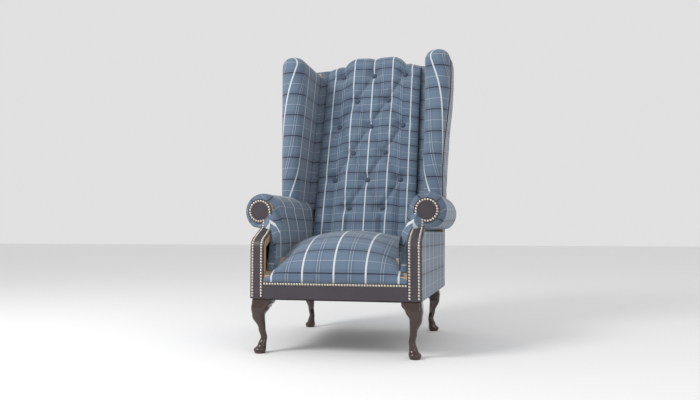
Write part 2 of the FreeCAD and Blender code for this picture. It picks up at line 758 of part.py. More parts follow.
def soft(name, form, rigid, others=()):
    """A soft piece: its form, less its seats on rigid pieces and the forms of its neighbours."""
    shape = form
    for label in rigid:
        shape = shape.cut(seats_of(labelled(label), s.fit_gap))
    for other in others:
        shape = shape.cut(other)
    solids = sorted(shape.Solids, key=lambda solid: -solid.Volume)
    return keep(feature(name + "_form", solids[0]), name)


document.recompute()
arm_top = s.scroll_level + 2 * s.roll_radius
for side, sign in SIDES:
    form = arm_form(sign, 0).common(behind_arm_front(s.leather_thick + s.fit_gap, arm_top))
    soft("arm_pad_" + side, form,
         ["arm_front_stump_" + side, "arm_top_rail_" + side, "back_post_" + side,
          "wing_front_post_" + side, "side_seat_rail_" + side, "arm_tacking_rail_" + side],
         [frustum(s.canvas_thick + s.fit_gap)])


# Inside back: the crown plane carries the buttons in their dimples.
rake_angle = math.atan(s.back_rake)
into_back = Vector(0, math.cos(rake_angle), -math.sin(rake_angle))
up_back = Vector(0, math.sin(rake_angle), math.cos(rake_angle))
button_rows = 6


def button_plane(z):
    """Behind distance of the plane of the buttons at a height."""
    return s.button_setback + s.back_rake * (z - s.button_level)


def crown_plane(z):
    """Behind distance of the crown of the back at a height."""
    return button_plane(z) - s.tuft_depth / math.cos(rake_angle)


def button_place(row, column):
    """Middle of a button; row 0 is the lowest, odd rows have the outer columns."""
    z = s.button_level + row * s.button_rise
    return Vector(column * s.button_across / 2, behind(button_plane(z)), z)


button_columns = {row: (-1, 1) if row % 2 == 0 else (-2, 0, 2) for row in range(button_rows)}
button_places = [button_place(row, column) for row in range(button_rows) for column in button_columns[row]]
back_bottom = rail_top + 15


def back_side_outline(grow):
    """Side outline of the back: the crown plane, the rounded crest and the rear."""
    top = s.crest_level + grow
    rear = panel_top - 6
    front_top = s.crest_level - 78
    rear_u = rear_line(rear) - s.fit_gap
    return [
        (crown_plane(back_bottom) - grow, back_bottom), (crown_plane(front_top) - grow, front_top),
        ((crown_plane(s.crest_level - 22) + 6 - grow, s.crest_level - 22),
         (crown_plane(s.crest_level) + 34, top)),
        (((crown_plane(s.crest_level) + 34 + rear_u) / 2 + 6, top - 6), (rear_u, rear)),
        (rear_line(back_bottom) - s.fit_gap, back_bottom),
    ]


def side_solid(outline, half):
    """A side outline run from side to side as a solid."""
    return face_of([from_front(point) for point in outline],
                   lambda p: Vector(-half, p.x, p.y)).extrude(Vector(2 * half, 0, 0))


def front_solid(outline):
    """A front outline run through the depth of the chair as a solid."""
    return face_of(outline, lambda p: Vector(p.x, -FAR / 2, p.y)).extrude(Vector(0, FAR, 0))


pleats = []
last = button_rows - 1
for row in range(last):
    for column in button_columns[row]:
        for step in (-1, 1):
            if column + step in button_columns[row + 1]:
                pleats.append((button_place(row, column), button_place(row + 1, column + step)))
for column in button_columns[0]:
    foot = button_place(0, column)
    pleats.append((foot - up_back * (s.button_level - back_bottom), foot))
for column in button_columns[last]:
    head_place = button_place(last, column)
    pleats.append((head_place, head_place + up_back * s.button_rise))


def hollow(x, z):
    """Depth of the tufts and pleats below the crown of the back."""
    here = button_place(0, 0) + up_back * ((z - s.button_level) / up_back.z)
    here.x = x
    depth = 0
    half = s.pleat_width / 2
    for start, end in pleats:
        along = end - start
        share = max(0, min(1, (here - start).dot(along) / along.dot(along)))
        away = (here - start - along * share).Length
        depth = max(depth, s.pleat_depth * max(0, 1 - away / half) ** 2)
    floor = s.button_diameter / 2 + s.button_margin
    rim = s.button_diameter * 1.9
    full = s.tuft_depth + s.button_sink
    for place in button_places:
        away = (here - place).Length
        depth = max(depth, full * max(0, min(1, (rim - away) / (rim - floor))))
    return depth


def crest_at(x):
    """Height of the crest at a distance from the middle."""
    line = Part.makeLine(Vector(x, 0, s.low_back_level), Vector(x, 0, s.crest_level + 100))
    return line.common(crest_face).BoundBox.ZMax


def back_column(x):
    """The front and the inner line of the stuffing in side view at one place across the back."""
    top = crest_at(x)
    front = []
    for row in range(-6, 4 * (button_rows - 1) + 1):
        z = s.button_level + row * s.button_rise / 4
        front.append((crown_plane(z) + hollow(x, z) / math.cos(rake_angle), z))
    for down, back in ((46, 0), (22, 6), (8, 16)):
        sunk = hollow(x, top - down) * down / 46
        front.append((crown_plane(top - down) + back + sunk, top - down))
    crown = crown_plane(top) + 34
    rear = rear_line(top - 16) - s.fit_gap
    front += [(crown, top), ((crown + rear) / 2 + 6, top - 6), (rear, top - 16)]
    under = top - s.crest_cover + 5 * s.fit_gap
    bottom = front[0][1]
    inner = [
        (rear_line(bottom) - rest_line - s.fit_gap, bottom), (rear_line(under) - rest_line - s.fit_gap, under),
        (rear_line(under) - s.fit_gap, under),
    ]
    return front, inner


def facets(points):
    """Flat faces for a cell of four points, split where it folds deepest."""
    a, b, c, d = points
    pairs = ((a, b, c), (a, c, d))
    if b.y + d.y > a.y + c.y:
        pairs = ((a, b, d), (b, c, d))
    return [Part.Face(Part.makePolygon([p, q, r, p])) for p, q, r in pairs]


rest_line = s.post_depth + 2 * s.web_thick
crest_face = face_of(crest_outline(0, s.back_half, back_bottom), lambda p: Vector(p.x, 0, p.y))
columns = []
for step in range(-12, 13):
    x = step * s.button_across / 8
    lines = back_column(x)
    columns.append([[Vector(x, behind(u), z) for u, z in line] for line in lines])
faces = []
for (front, inner), (next_front, next_inner) in zip(columns, columns[1:]):
    for here, there in ((front, next_front), (inner, next_inner)):
        for index in range(len(here) - 1):
            faces += facets([here[index], there[index], there[index + 1], here[index + 1]])
    faces += facets([front[0], next_front[0], next_inner[0], inner[0]])
    faces += facets([front[-1], next_front[-1], next_inner[-1], inner[-1]])
for front, inner in (columns[0], columns[-1]):
    around = front + inner[::-1]
    faces.append(Part.Face(Part.makePolygon(around + [around[0]])))
skin = Part.makeCompound(faces)
skin.sewShape()
stuffing = Part.Solid(skin.Shells[0])
if stuffing.Volume < 0:
    stuffing.reverse()
for place in button_places:
    seat = place + into_back * s.button_sink
    stuffing = stuffing.cut(Part.makeCylinder(s.button_diameter / 2 + s.fit_gap, s.tuft_depth, seat, into_back * -1))
keep(feature("back_pad_form", stuffing), "back_pad")


# Covered buttons, each on the floor of its dimple.
buttons = []
for place in button_places:
    radius = s.button_diameter / 2
    seat = place + into_back * (s.button_sink - s.fit_gap)
    out = into_back * -1
    rim = Part.makeCylinder(radius, s.button_rim, seat, out)
    dome = Part.makeCone(radius, radius * 0.45, s.button_height - s.button_rim, seat + out * s.button_rim, out)
    buttons.append(rim.fuse(dome))
keep(feature("back_buttons", Part.makeCompound(buttons)), "back_buttons")


# Seat: the crown falls to the arms at the sides and rolls down to the border in front.
def seat_section(u, half, side_level, crown_level, bottom):
    """Section of the seat across the chair, its top one long crown."""
    def at(p):
        return Vector(p.x, behind(u), p.y)
    shoulder = half - 0.12 * half
    rise = crown_level - side_level
    return wire_of([
        (-half, bottom), (half, bottom), (half, side_level),
        ((half * 0.78, side_level + 0.50 * rise), (half * 0.45, side_level + 0.83 * rise)),
        ((0, crown_level), (-half * 0.45, side_level + 0.83 * rise)),
        ((-half * 0.78, side_level + 0.50 * rise), (-half, side_level)),
    ], at)


def seat_form():
    """The seat from the border to the inside back."""
    half = s.facing_inner - s.fit_gap
    bottom = s.border_top + s.fit_gap
    rise = s.seat_crown - bottom
    side = rise - s.seat_side_drop
    wires = []
    for index in range(9):
        share = (index / 8) ** 1.6
        front = math.sqrt(1 - (1 - min(1, share / 0.62)) ** 2.6)
        crown = (0.16 + 0.84 * front) * (1 - 0.05 * max(0, share - 0.7) / 0.3)
        side_share = 0.10 + 0.90 * ease(share / 0.75)
        wires.append(seat_section(share * s.seat_depth, half, bottom + side * side_share,
                                  bottom + rise * crown, bottom))
    return Part.makeLoft(wires, True, True)


seat_limit = side_solid([
    (-FAR, 0), (crown_plane(0) - s.fit_gap, 0), (crown_plane(s.scroll_level) - s.fit_gap, s.scroll_level),
    (-FAR, s.scroll_level)], FAR)
form = seat_form().common(seat_limit)
rail_cover = Part.makeBox(FAR, FAR, 2 * s.fit_gap + s.rail_height,
                          Vector(-FAR / 2, behind(s.leather_thick - s.fit_gap), s.leg_height))
soft("seat_pad", form, [],
     [rail_cover, frustum(s.canvas_thick + s.fit_gap), arm_form(1, s.fit_gap), arm_form(-1, s.fit_gap)]
     + seats_of(labelled("arm_front_stump_left"), s.fit_gap) + seats_of(labelled("arm_front_stump_right"), s.fit_gap))

border = box("border", (-s.facing_inner + s.fit_gap, 0, s.leg_height),
             (s.facing_inner - s.fit_gap, s.leather_thick, s.border_top))
border.setExpression("Width", "Sizes.leather_thick")
keep(border, "front_border")


# Wings: horizontal sections with a rolled front edge, drawn in at the top.
def wing_side(z):
    """Circle of the outer side of the wing in plan: its middle (across, behind) and radius."""
    outer = wing_outer(z)
    start = Vector(outer, wing_front(z) + (outer - s.wing_inner) / 2, 0)
    end = Vector(outer - s.wing_rear_taper, rear_line(z) - s.fit_gap, 0)
    belly = start * 0.5 + end * 0.5 + Vector(s.wing_belly, 0, 0)
    circle = Part.Arc(start, belly, end).toShape().Curve
    return circle.Center, circle.Radius


def wing_side_across(z, u):
    """Half width of the outer side of the wing at a height and a distance behind the front."""
    middle, radius = wing_side(z)
    return middle.x + math.sqrt(radius ** 2 - (u - middle.y) ** 2)


def wing_section(z, grow, inset):
    """Plan section of a stuffed wing at a height."""
    inner, outer = s.wing_inner - grow + inset, wing_outer(z) + grow - inset
    radius = (outer - inner) / 2
    front = wing_front(z) - grow + inset
    rear_inner = s.back_half + 2 * s.fit_gap - grow
    rear_outer = outer - s.wing_rear_taper
    rear = rear_line(z) - s.fit_gap + grow
    belly = (front + radius + rear) / 2
    middle = (inner + outer) / 2
    diagonal = radius / math.sqrt(2)
    return [
        (inner, front + radius), ((middle - diagonal, front + radius - diagonal), (middle, front)),
        ((middle + diagonal, front + radius - diagonal), (outer, front + radius)),
        ((wing_side_across(z, belly) + grow - inset, belly), (rear_outer, rear)),
        (rear_inner, rear), (rear_inner, crown_plane(z) + s.tuft_depth),
    ]


wing_low = s.scroll_level + s.roll_radius * 0.35


def wing_levels():
    """Heights of the wing sections, with how far each draws in."""
    levels = [(wing_low, 0), (wing_low + 60, 0), (s.wing_waist, 0)]
    levels += [(s.wing_waist + share * (s.wing_wide - s.wing_waist), 0) for share in (0.25, 0.5, 0.75, 1)]
    levels += [(s.wing_top - s.wing_round - 14, 0)]
    for share in (0, 0.5, 0.8, 0.96):
        inset = s.wing_round * (1 - math.sqrt(1 - share * share))
        levels.append((s.wing_top - s.wing_round + share * s.wing_round, inset))
    return levels


def wing_form(sign, grow):
    """The stuffed wing."""
    wires = []
    for z, inset in wing_levels():
        wires.append(wire_of(wing_section(z, grow, inset), lambda p: Vector(sign * p.x, behind(p.y), z)))
    return Part.makeLoft(wires, True, True)


back_cut = side_solid(back_side_outline(3), s.back_half + s.fit_gap)
for side, sign in SIDES:
    form = wing_form(sign, 0)
    soft("wing_pad_" + side, form,
         ["arm_top_rail_" + side, "back_post_" + side, "wing_front_post_" + side,
          "wing_top_rail_" + side],
         [arm_form(sign, s.fit_gap), back_cut] + seats_of(labelled("top_back_rail"), s.fit_gap)
         + seats_of(labelled("back_webbing"), s.fit_gap))


def wing_skin(sign, first, last, thick):
    """A skin on the outer side of the wing between two lines behind its front."""
    gap = -s.trim_thick
    wires = []
    for z, inset in wing_levels()[:-3]:
        front = wing_front(z) + (wing_outer(z) - s.wing_inner) / 2
        rear = rear_line(z) - s.fit_gap

        def outer(u):
            return wing_side_across(z, u) - inset
        start = front + first
        end = rear if last is None else front + last
        middle = (start + end) / 2
        points = [
            (outer(start) + gap, start), ((outer(middle) + gap, middle), (outer(end) + gap, end)),
            (outer(end) + s.fit_gap + thick, end),
            ((outer(middle) + s.fit_gap + thick, middle), (outer(start) + s.fit_gap + thick, start)),
        ]
        wires.append(wire_of(points, lambda p: Vector(sign * p.x, behind(p.y), z)))
    return Part.makeLoft(wires, True, True).cut([wing_form(sign, s.fit_gap), arm_form(sign, s.fit_gap)])


for side, sign in SIDES:
    trim = wing_skin(sign, 0, s.trim_width, s.trim_thick)
    keep(feature("wing_trim_" + side, max(trim.Solids, key=lambda solid: solid.Volume)), "wing_trim_" + side)
    panel = wing_skin(sign, s.trim_width + s.fit_gap, None, s.panel_thick)
    keep(feature("wing_panel_" + side, max(panel.Solids, key=lambda solid: solid.Volume)),
         "wing_outside_panel_" + side)

# Outside panels of the arms and of the back.
under_roll = s.scroll_level - s.roll_radius - 8
corner = 42
for side, sign in SIDES:
    inner, outer = side_rail_outer, side_rail_outer + s.panel_thick
    outline = [
        (inner, s.leather_thick), (outer, s.leather_thick), (outer, stump_back),
        (outer + rail_splay, post_front), (outer + rail_splay, s.frame_depth),
        (inner + rail_splay, s.frame_depth), (inner + rail_splay, post_front), (inner, stump_back),
    ]
    plan = plan_board("arm_panel_plan_" + side, outline, s.leg_height, f"{under_roll - s.leg_height} mm", sign)
    path = arm_front_profile(s.leather_thick + s.fit_gap, s.leg_height, under_roll + 100)
    bend = corner * (1 - math.sqrt(0.5))
    rear = path + [
        (rear_line(under_roll), under_roll + 100), (s.frame_depth, rail_top),
        (s.frame_depth, s.leg_height + corner),
        ((s.frame_depth - bend, s.leg_height + bend), (s.frame_depth - corner, s.leg_height)),
    ]
    keep(common("arm_panel_" + side, plan, side_prism("arm_panel_side_" + side, rear)),
         "arm_outside_panel_" + side)

panel_half_low = post_outer + s.panel_thick
panel_half_high = s.wing_high_outer - s.wing_rear_taper
panel_outline = crest_outline(s.panel_inset, s.back_half, s.crest_level / 2)
top_points = [point for point in panel_outline[2:]]
shoulder_side = s.wing_top - s.wing_round / 2
outline = [
    (-panel_half_low, s.leg_height), (panel_half_low, s.leg_height), (panel_half_low, s.scroll_level),
    (panel_half_high, s.wing_wide), (panel_half_high - 6, shoulder_side - 12),
    ((panel_half_high - 14, shoulder_side - 3), (panel_half_high - 30, shoulder_side)),
] + top_points + [
    (-panel_half_high + 30, shoulder_side),
    ((-panel_half_high + 14, shoulder_side - 3), (-panel_half_high + 6, shoulder_side - 12)),
    (-panel_half_high, s.wing_wide), (-panel_half_low, s.scroll_level),
]
side_band = [
    (s.frame_depth, s.leg_height), (s.frame_depth + s.panel_thick, s.leg_height),
    (s.frame_depth + s.panel_thick, rail_top),
    (rear_line(s.crest_level) + s.panel_thick, s.crest_level), (rear_line(s.crest_level), s.crest_level),
    (s.frame_depth, rail_top),
]
keep(common("back_panel", front_prism("back_panel_front", outline), side_prism("back_panel_side", side_band)),
     "outside_back_panel")

document.recompute()
for thing in document.Objects:
    if "Invalid" in thing.State or "Error" in thing.State:
        raise RuntimeError("not built: " + thing.Name)
total = Part.makeCompound([thing.Shape for thing in nodes]).BoundBox
print("overall", total)
for thing in nodes:
    if thing.Shape.isNull() or not thing.Shape.isValid():
        raise RuntimeError("not a valid shape: " + thing.Label)
    print(thing.Label, round(thing.Shape.Volume / 1000), len(thing.Shape.Solids))
    thing.Shape.exportStep("parts/" + thing.Label + ".step")
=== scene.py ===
import math

import bpy
from mathutils import Matrix, Vector


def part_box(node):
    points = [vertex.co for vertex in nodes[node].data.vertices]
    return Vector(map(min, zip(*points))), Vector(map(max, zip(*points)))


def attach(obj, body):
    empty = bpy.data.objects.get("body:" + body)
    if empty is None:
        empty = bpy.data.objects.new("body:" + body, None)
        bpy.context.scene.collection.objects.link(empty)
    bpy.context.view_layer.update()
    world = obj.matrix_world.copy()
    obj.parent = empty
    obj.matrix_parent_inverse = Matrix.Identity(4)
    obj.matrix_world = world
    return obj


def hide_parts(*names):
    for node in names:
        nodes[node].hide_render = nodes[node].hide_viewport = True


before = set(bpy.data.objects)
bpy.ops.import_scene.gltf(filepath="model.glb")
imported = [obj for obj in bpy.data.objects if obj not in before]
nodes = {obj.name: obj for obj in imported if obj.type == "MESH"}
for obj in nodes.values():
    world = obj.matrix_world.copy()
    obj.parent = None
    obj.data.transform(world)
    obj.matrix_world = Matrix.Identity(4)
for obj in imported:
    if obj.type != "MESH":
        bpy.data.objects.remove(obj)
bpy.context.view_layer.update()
scene = bpy.context.scene
SIDES = (("left", -1), ("right", 1))
CLOTH = "cloth"
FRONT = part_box("front_border")[0][1]

# Sizes in metres, measured behind the front plane and above the floor
REAR, REAR_RAKE, RAIL_TOP = 0.725, 0.155, 0.285
BUTTON_LOW, BUTTON_RISE, BUTTON_HALF = 0.547, 0.129, 0.075
BUTTON_BEHIND, BACK_SLOPE, CROWN_STAND = 0.580, 0.3416, 0.024
BUTTON_ROWS = 6
TUFT, TUFT_RADIUS, TUFT_SLOPE = 0.026, 0.050, 0.036
PLEAT, PLEAT_HALF = 0.017, 0.030
BACK_HALF, BACK_EDGE, BACK_LOW = 0.2255, 0.195, 0.36
CREST_TOP, CREST_DIP, HUMP_ACROSS, CREST_FOOT = 1.300, 0.0045, 0.085, 0.150
NOTCH, CREST_ROLL = 1.262, 0.060
SEAT_LOW, SEAT_DEPTH, SEAT_HALF, SEAT_EDGE = 0.2593, 0.52, 0.262, 0.2615
SEAT_RISE, SEAT_SIDE_RISE = 0.1867, 0.125
ARM_ACROSS, ARM_LEVEL, ROLL_RADIUS, ROLL_GROWTH, ROLL_END = 0.319, 0.520, 0.0695, 0.006, 0.655
ARM_INNER, ARM_WALL, ARM_LOW, ARM_WALL_TOP, ARM_BEHIND_FRONT = 0.228, 0.262, 0.30, 0.400, 0.0345
KNEE_LEVEL, KNEE, NECK, SETBACK, LEAN = 0.383, 0.040, 0.025, 0.112, math.radians(65)
SCROLL_RADIUS, FACING_INNER, FACING_OUTER, STRIP_LOW = 0.047, 0.262, 0.311, 0.210
WING_WAIST, WING_SWELL, WING_TOP, WING_ROUND = 0.680, 0.450, 1.232, 0.046
WING_INNER, WING_OUTER, WING_FRONT = 0.270, (0.348, 0.380), (0.430, 0.505)
NAIL_RADIUS, NAIL_HEIGHT, NAIL_PITCH, NAIL_INSET = 0.0046, 0.0028, 0.0102, 0.008
LEG_HEIGHT, LEG_TOP_HALF, LEG_ANKLE, LEG_PAD, LEG_KNEE, LEG_TOE = 0.2, 0.036, 0.024, 0.046, 0.022, 0.016
FRONT_LEG, REAR_LEG = (0.273, 0.043), (0.276, 0.689)
STRIPE_APART, LINE_APART = 0.116, 0.097
BACK_STRIPES, BACK_LINES = 0.093, 0.078
COVER_THICK = 0.004


# Materials
def material(name, colour, rough, metal=0.0, bump=0.0, grain=600.0, coat=0.0, mottle=0.0):
    """A plain material with a fine grain and a slow change of tone."""
    made = bpy.data.materials.new(name)
    made.use_nodes = True
    tree = made.node_tree
    shader = tree.nodes["Principled BSDF"]
    shader.inputs["Base Color"].default_value = (*colour, 1)
    shader.inputs["Roughness"].default_value = rough
    shader.inputs["Metallic"].default_value = metal
    shader.inputs["Coat Weight"].default_value = coat
    place = tree.nodes.new("ShaderNodeTexCoord")
    if bump:
        noise = tree.nodes.new("ShaderNodeTexNoise")
        noise.inputs["Scale"].default_value = grain
        tree.links.new(place.outputs["Object"], noise.inputs["Vector"])
        rough_up = tree.nodes.new("ShaderNodeBump")
        rough_up.inputs["Strength"].default_value = bump
        rough_up.inputs["Distance"].default_value = 0.001
        tree.links.new(noise.outputs["Fac"], rough_up.inputs["Height"])
        tree.links.new(rough_up.outputs["Normal"], shader.inputs["Normal"])
    if mottle:
        cloud = tree.nodes.new("ShaderNodeTexNoise")
        cloud.inputs["Scale"].default_value = 14
        tree.links.new(place.outputs["Object"], cloud.inputs["Vector"])
        mix = tree.nodes.new("ShaderNodeMix")
        mix.data_type = "RGBA"
        mix.inputs[6].default_value = (*[part * (1 - mottle) for part in colour], 1)
        mix.inputs[7].default_value = (*[min(1, part * (1 + mottle)) for part in colour], 1)
        tree.links.new(cloud.outputs["Fac"], mix.inputs[0])
        tree.links.new(mix.outputs[2], shader.inputs["Base Color"])
    return made


def plaid_material():
    """Blue-grey wool with white stripes down it, navy lines across it and thin pale lines between."""
    made = bpy.data.materials.new("plaid wool")
    made.use_nodes = True
    tree = made.node_tree
    links = tree.links
    shader = tree.nodes["Principled BSDF"]
    shader.inputs["Roughness"].default_value = 0.9
    shader.inputs["Sheen Weight"].default_value = 0.25
    spot = tree.nodes.new("ShaderNodeUVMap")
    spot.uv_map = CLOTH
    split = tree.nodes.new("ShaderNodeSeparateXYZ")
    links.new(spot.outputs["UV"], split.inputs[0])

    def maths(kind, first, second):
        node = tree.nodes.new("ShaderNodeMath")
        node.operation = kind
        for slot, value in zip(node.inputs, (first, second)):
            if isinstance(value, (int, float)):
                slot.default_value = value
            else:
                links.new(value, slot)
        return node.outputs[0]

    def line(axis, period, offset, width, soft):
        turn = maths("DIVIDE", maths("SUBTRACT", split.outputs[axis], offset), period)
        near = maths("ABSOLUTE", maths("SUBTRACT", maths("FRACT", maths("ADD", turn, 0.5), 0), 0.5), 0)
        away = maths("MULTIPLY", near, period)
        fade = tree.nodes.new("ShaderNodeMapRange")
        fade.inputs["From Min"].default_value = width / 2 + soft
        fade.inputs["From Max"].default_value = max(0, width / 2 - soft)
        links.new(away, fade.inputs["Value"])
        return fade.outputs[0]

    cloud = tree.nodes.new("ShaderNodeTexNoise")
    cloud.inputs["Scale"].default_value = 900
    links.new(spot.outputs["UV"], cloud.inputs["Vector"])
    base = tree.nodes.new("ShaderNodeMix")
    base.data_type = "RGBA"
    base.inputs[6].default_value = (0.083, 0.125, 0.185, 1)
    base.inputs[7].default_value = (0.135, 0.190, 0.265, 1)
    links.new(cloud.outputs["Fac"], base.inputs[0])
    colour = base.outputs[2]
    bands = [
        (1, LINE_APART, 0.0, 0.030, 0.003, 0.35, (0.055, 0.080, 0.130)),
        (0, STRIPE_APART, 0.058, 0.030, 0.003, 0.25, (0.060, 0.090, 0.140)),
        (1, LINE_APART, 0.0485, 0.0018, 0.0005, 0.55, (0.45, 0.50, 0.55)),
        (0, STRIPE_APART, 0.053, 0.0018, 0.0005, 0.55, (0.45, 0.50, 0.55)),
        (0, STRIPE_APART, 0.063, 0.0018, 0.0005, 0.55, (0.45, 0.50, 0.55)),
        (1, LINE_APART, 0.0, 0.0052, 0.0006, 0.90, (0.010, 0.014, 0.035)),
        (0, STRIPE_APART, 0.0, 0.0066, 0.0006, 0.85, (0.62, 0.66, 0.68)),
    ]
    for axis, period, offset, width, soft, strength, tint in bands:
        mix = tree.nodes.new("ShaderNodeMix")
        mix.data_type = "RGBA"
        links.new(maths("MULTIPLY", line(axis, period, offset, width, soft), strength), mix.inputs[0])
        links.new(colour, mix.inputs[6])
        mix.inputs[7].default_value = (*tint, 1)
        colour = mix.outputs[2]
    links.new(colour, shader.inputs["Base Color"])
    bump = tree.nodes.new("ShaderNodeBump")
    bump.inputs["Strength"].default_value = 0.25
    bump.inputs["Distance"].default_value = 0.0008
    links.new(cloud.outputs["Fac"], bump.inputs["Height"])
    links.new(bump.outputs["Normal"], shader.inputs["Normal"])
    return made


plaid = plaid_material()
leather = material("plum leather", (0.040, 0.032, 0.042), 0.42, bump=0.35, grain=900, mottle=0.25)
mahogany = material("dark mahogany", (0.030, 0.012, 0.008), 0.22, 0, 0.05, 120, coat=0.5, mottle=0.4)
brass = material("pale brass", (0.55, 0.50, 0.42), 0.32, metal=1.0)
beech = material("beech", (0.42, 0.29, 0.17), 0.6, bump=0.2, grain=200, mottle=0.2)
steel = material("spring steel", (0.30, 0.31, 0.33), 0.4, metal=1.0)
webbing = material("jute webbing", (0.30, 0.23, 0.14), 0.95, bump=0.8, grain=500, mottle=0.2)
canvas = material("hessian", (0.38, 0.31, 0.21), 0.95, bump=0.8, grain=700, mottle=0.2)
lining = material("black lining", (0.012, 0.012, 0.013), 0.95, bump=0.4, grain=900)
button_cloth = material("button cloth", (0.060, 0.085, 0.125), 0.9, bump=0.4, grain=900, mottle=0.3)


# Shapes
def mesh_piece(name, points, faces, cloth, made, thick=0.0):
    """A smooth mesh with the place on the flat cloth kept for each point."""
    mesh = bpy.data.meshes.new(name)
    mesh.from_pydata(points, [], faces)
    mesh.update()
    if cloth:
        layer = mesh.uv_layers.new(name=CLOTH)
        for loop in mesh.loops:
            layer.data[loop.index].uv = cloth[loop.vertex_index]
    mesh.materials.append(made)
    for face in mesh.polygons:
        face.use_smooth = True
    piece = bpy.data.objects.new(name, mesh)
    scene.collection.objects.link(piece)
    if thick:
        solid = piece.modifiers.new("thickness", "SOLIDIFY")
        solid.thickness = thick
        solid.offset = -1
    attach(piece, "root")
    return piece


def grid_piece(name, rows, cloth_rows, made, round_trip=False, capped=False, thick=0.0):
    """A mesh from rows of points with as many points each."""
    width = len(rows[0])
    points = [tuple(point) for row in rows for point in row]
    cloth = [spot for row in cloth_rows for spot in row]
    faces = []
    for line in range(len(rows) - 1):
        for step in range(width if round_trip else width - 1):
            after = (step + 1) % width
            faces.append((line * width + step, line * width + after,
                          (line + 1) * width + after, (line + 1) * width + step))
    if capped:
        faces.append(tuple(range(width))[::-1])
        faces.append(tuple(range((len(rows) - 1) * width, len(rows) * width)))
    return mesh_piece(name, points, faces, cloth, made, thick)


def at(x, behind, z):
    """A point across, behind the front plane and above the floor."""
    return Vector((x, FRONT + behind, z))


def arc(first, middle, last, count):
    """Points on the circle through three points of a plane, without the last."""
    (ax, ay), (bx, by), (cx, cy) = first, middle, last
    d = 2 * (ax * (by - cy) + bx * (cy - ay) + cx * (ay - by))
    ux = ((ax**2 + ay**2) * (by - cy) + (bx**2 + by**2) * (cy - ay) + (cx**2 + cy**2) * (ay - by)) / d
    uy = ((ax**2 + ay**2) * (cx - bx) + (bx**2 + by**2) * (ax - cx) + (cx**2 + cy**2) * (bx - ax)) / d
    radius = math.hypot(ax - ux, ay - uy)
    angles = [math.atan2(y - uy, x - ux) for x, y in (first, middle, last)]
    turn = (angles[2] - angles[0]) % (2 * math.pi)
    if (angles[1] - angles[0]) % (2 * math.pi) > turn:
        turn -= 2 * math.pi
    return [(ux + radius * math.cos(angles[0] + turn * step / count),
             uy + radius * math.sin(angles[0] + turn * step / count)) for step in range(count)]


def run(first, last, count):
    """Points on a straight line, without the last."""
    return [(first[0] + (last[0] - first[0]) * step / count,
             first[1] + (last[1] - first[1]) * step / count) for step in range(count)]


def lengths(points):
    """Distance along a line of points."""
    total = [0.0]
    for here, there in zip(points, points[1:]):
        total.append(total[-1] + math.dist(here, there))
    return total


def ease(share):
    """Smooth step from 0 to 1."""
    share = min(1, max(0, share))
    return share * share * (3 - 2 * share)


def mix(low, high, share):
    """The value at a share of the way from low to high."""
    return low + (high - low) * share


# Inside back
RAKE = math.atan(BACK_SLOPE)
INTO = Vector((0, math.cos(RAKE), -math.sin(RAKE)))
UP = Vector((0, math.sin(RAKE), math.cos(RAKE)))
COLUMNS = {row: (-1, 1) if row % 2 == 0 else (-2, 0, 2) for row in range(BUTTON_ROWS)}


def button_plane(z):
    """Behind distance of the buttons at a height."""
    return BUTTON_BEHIND + BACK_SLOPE * (z - BUTTON_LOW)


def button_place(row, column):
    """Middle of a button; the lowest row is 0, and odd rows have the outer columns."""
    z = BUTTON_LOW + row * BUTTON_RISE
    return at(column * BUTTON_HALF, button_plane(z), z)


def crown_plane(z):
    """Behind distance of the crown of the back at a height."""
    return button_plane(z) - CROWN_STAND / math.cos(RAKE)


def rear_plane(z):
    """Behind distance of the rear of the frame at a height."""
    return REAR + REAR_RAKE * (z - RAIL_TOP)


BUTTONS = [button_place(row, column) for row in COLUMNS for column in COLUMNS[row]]
PLEATS = []
for row in range(BUTTON_ROWS - 1):
    for column in COLUMNS[row]:
        for step in (-1, 1):
            if column + step in COLUMNS[row + 1]:
                PLEATS.append((button_place(row, column), button_place(row + 1, column + step)))
for row, step in ((0, -0.20), (1, -0.33), (5, 0.13)):
    for column in COLUMNS[row]:
        if row != 1 or column:
            spot = button_place(row, column)
            PLEATS.append((spot, spot + UP * step))


def crest(x):
    """Height of the crest: two humps, a dip between them, shoulders beside them."""
    away = abs(x)
    if away < HUMP_ACROSS:
        return CREST_TOP - CREST_DIP + CREST_DIP * math.sin(math.pi / 2 * away / HUMP_ACROSS)
    if away < CREST_FOOT:
        share = (away - HUMP_ACROSS) / (CREST_FOOT - HUMP_ACROSS)
        return CREST_TOP - (CREST_TOP - NOTCH) * share ** 1.9
    return NOTCH - 0.016 * ease((away - CREST_FOOT) / 0.076)


def hollow(x, z):
    """Depth of the tufts and pleats under the crown."""
    here = button_place(0, 0) + UP * ((z - BUTTON_LOW) / UP.z)
    here.x = x
    depth = 0
    for start, end in PLEATS:
        along = end - start
        share = max(0, min(1, (here - start).dot(along) / along.dot(along)))
        away = (here - start - along * share).length
        depth = max(depth, PLEAT * max(0, 1 - away / PLEAT_HALF) ** 1.8)
    for place in BUTTONS:
        away = (here - place).length
        depth = max(depth, TUFT * max(0, min(1, (TUFT_RADIUS - away) / TUFT_SLOPE)) ** 1.3)
    return depth


def rear_of_cover(top):
    """Behind distance where the cover meets the outside back."""
    return rear_plane(top - 0.016) - 0.0005


